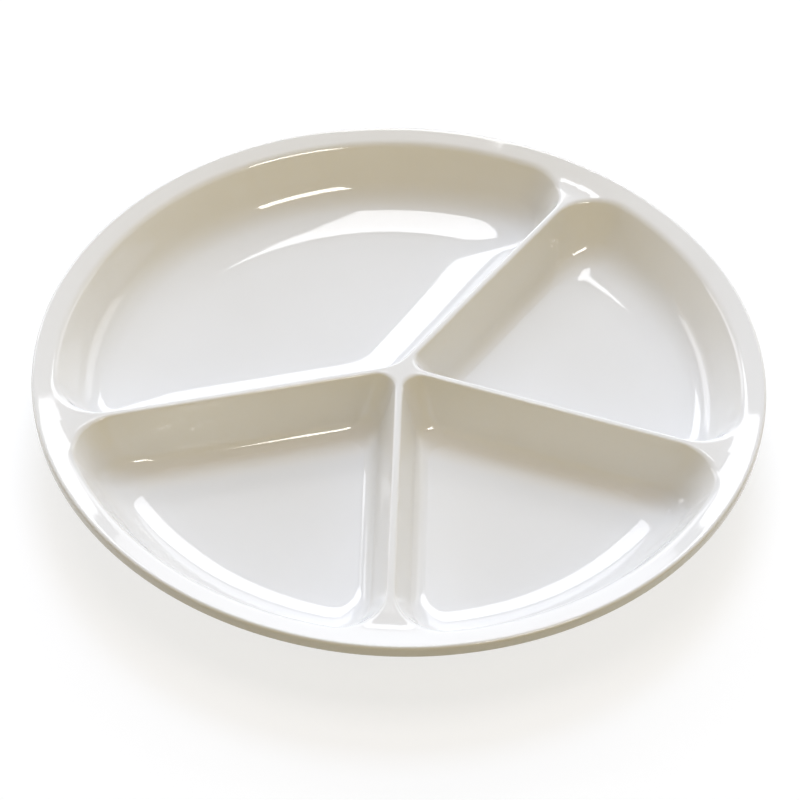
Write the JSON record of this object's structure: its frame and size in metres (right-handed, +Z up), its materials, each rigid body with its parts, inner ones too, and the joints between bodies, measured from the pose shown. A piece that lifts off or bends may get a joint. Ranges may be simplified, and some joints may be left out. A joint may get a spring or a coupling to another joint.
{
  "type": "divided plate",
  "caption": "Round glazed stoneware dinner plate with low rounded dividers that part a large main compartment from smaller ones, a raised rim and a bare foot ring.",
  "frame": {"origin": "on the table under the middle of the plate, in the plane of the foot ring's contact face", "axes": "+Z up, +Y through the middle of the main compartment, and the plate is alike on both sides of the YZ plane"},
  "size_m": [0.2536, 0.2538, 0.029],
  "materials": {
    "clay": "matt, bare fired clay",
    "glaze": "high gloss, warm white"
  },
  "bodies": {
    "root": {"stoneware_body": "clay", "upper_glaze": "glaze", "base_glaze": "glaze"}
  },
  "joints": []
}
